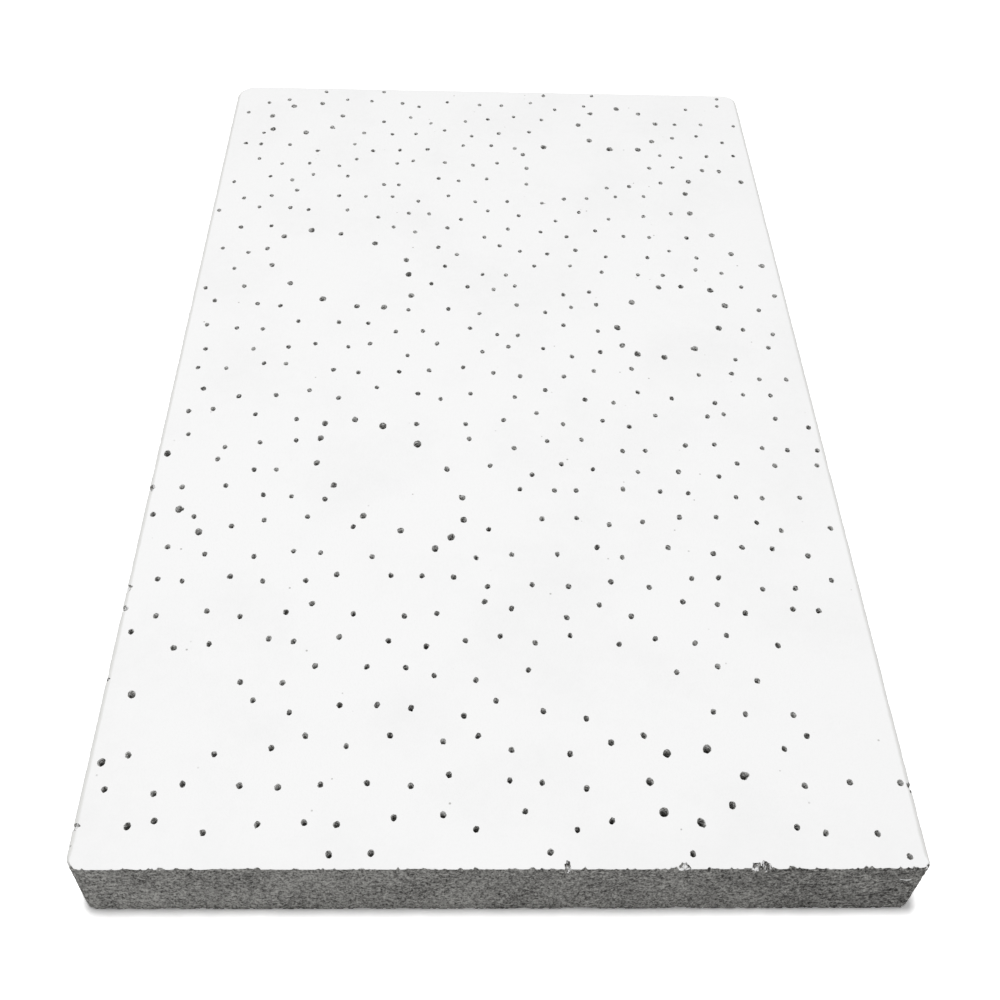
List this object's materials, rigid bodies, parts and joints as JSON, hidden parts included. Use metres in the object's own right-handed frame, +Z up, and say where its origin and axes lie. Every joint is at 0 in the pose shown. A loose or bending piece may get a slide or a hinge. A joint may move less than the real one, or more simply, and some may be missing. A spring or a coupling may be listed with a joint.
{
  "type": "suspended ceiling tile",
  "caption": "Flat rectangular mineral-fibre ceiling board with a white painted face, scattered blind sound-absorbing pinholes, bare patches, worn corners and raw grey cut edges.",
  "frame": {"origin": "centre of the back face, on the surface that the board lies on", "axes": "+X along the width, to the right when the cut front end faces the viewer; +Y along the length, away from the cut front end; +Z up, out of the painted face"},
  "size_m": [0.12, 0.2, 0.013],
  "materials": {
    "board": "matt white paint on the face, raw grey mineral fibre on the edges and back"
  },
  "bodies": {
    "root": {"tile": "board"}
  },
  "joints": []
}
